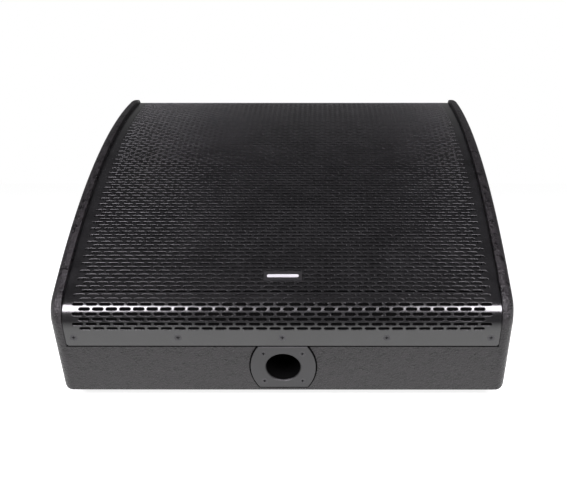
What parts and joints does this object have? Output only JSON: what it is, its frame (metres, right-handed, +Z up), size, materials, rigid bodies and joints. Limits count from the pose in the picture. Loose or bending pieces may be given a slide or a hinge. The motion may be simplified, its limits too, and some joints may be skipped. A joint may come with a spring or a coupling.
{
  "type": "stage monitor wedge",
  "caption": "Low-profile floor monitor loudspeaker: plywood wedge, curved steel grille, coaxial driver, pocket handles, pole socket.",
  "frame": {"origin": "on the floor, under the middle of the outer box", "axes": "+X to the right of the speaker seen from its front, the grille faces -Y and up, +Z up; the rubber feet stand on Z = 0"},
  "size_m": [0.486, 0.52, 0.3484],
  "materials": {
    "cabinet_paint": "textured black paint over plywood",
    "raw_batten": "unpainted softwood",
    "grille_paint": "semi-gloss black powder coat",
    "foam": "open acoustic foam",
    "black_screw": "black zinc",
    "badge_dark": "satin",
    "badge_light": "satin",
    "socket_plastic": "moulded, satin",
    "feet_rubber": "matt",
    "contact_metal": "tin plated",
    "cast_frame": "black cast frame",
    "gasket_cork": "dense gasket",
    "zinc_steel": "zinc plated",
    "cloth": "doped cloth",
    "spider_cloth": "impregnated cloth",
    "cone_paper": "coated pulp",
    "screen_cloth": "open mesh",
    "former": "polyimide film",
    "copper": "enamelled winding wire",
    "ferrite": "sintered ferrite",
    "horn_plastic": "moulded",
    "hf_metal": "machined",
    "board": "glass-fibre laminate",
    "capacitor": "film wrap",
    "resistor": "cement",
    "terminal": "moulded",
    "felt": "felt",
    "cable": "sheathed"
  },
  "bodies": {
    "cabinet_body": {"side_panel_left": "cabinet_paint", "side_panel_right": "cabinet_paint", "bottom_panel": "cabinet_paint", "front_panel": "cabinet_paint", "rear_lower_panel": "cabinet_paint", "rear_upper_panel": "cabinet_paint", "baffle": "cabinet_paint", "nose_rail": "cabinet_paint", "top_rail": "cabinet_paint", "curved_battens": "cabinet_paint", "corner_battens": "raw_batten", "grille": "grille_paint", "grille_foam": "foam", "grille_screws": "black_screw", "pole_screws": "black_screw", "handle_screws": "black_screw", "foot_screws": "black_screw", "input_screws": "black_screw", "socket_screws": "black_screw", "driver_screws": "black_screw", "plate_screws": "black_screw", "board_screws": "black_screw", "badge_plate": "badge_dark", "badge_bar": "badge_light", "pole_socket": "socket_plastic", "handle_left": "socket_plastic", "handle_right": "socket_plastic", "input_plate": "socket_plastic", "socket_input": "socket_plastic", "socket_link": "socket_plastic", "port_left": "socket_plastic", "port_right": "socket_plastic", "rubber_feet": "feet_rubber", "socket_contacts": "contact_metal", "basket": "cast_frame", "driver_gasket": "gasket_cork", "tee_nuts": "zinc_steel", "top_plate": "zinc_steel", "yoke": "zinc_steel", "standoffs": "zinc_steel", "surround": "cloth", "spider": "spider_cloth", "inductors": "copper", "magnet": "ferrite", "hf_magnet": "ferrite", "horn": "horn_plastic", "phase_plug": "horn_plastic", "hf_cover": "horn_plastic", "hf_plate": "hf_metal", "crossover_board": "board", "capacitors": "capacitor", "resistors": "resistor", "board_terminals": "terminal", "damping_pads": "felt", "wiring": "cable"},
    "woofer_cone_body": {"cone": "cone_paper", "dust_screen": "screen_cloth", "coil_former": "former", "coil_winding": "copper"},
    "hf_dome_body": {"hf_dome": "hf_metal"}
  },
  "joints": [
    {"name": "woofer_travel", "type": "slide", "parent": "cabinet_body", "child": "woofer_cone_body", "axis": [0, -0.5, 0.866], "range_m": [-0.006, 0.006], "deforming": ["surround", "spider"]},
    {"name": "hf_dome_travel", "type": "slide", "parent": "cabinet_body", "child": "hf_dome_body", "axis": [0, -0.5, 0.866], "range_m": [-0.0004, 0.0004]}
  ]
}
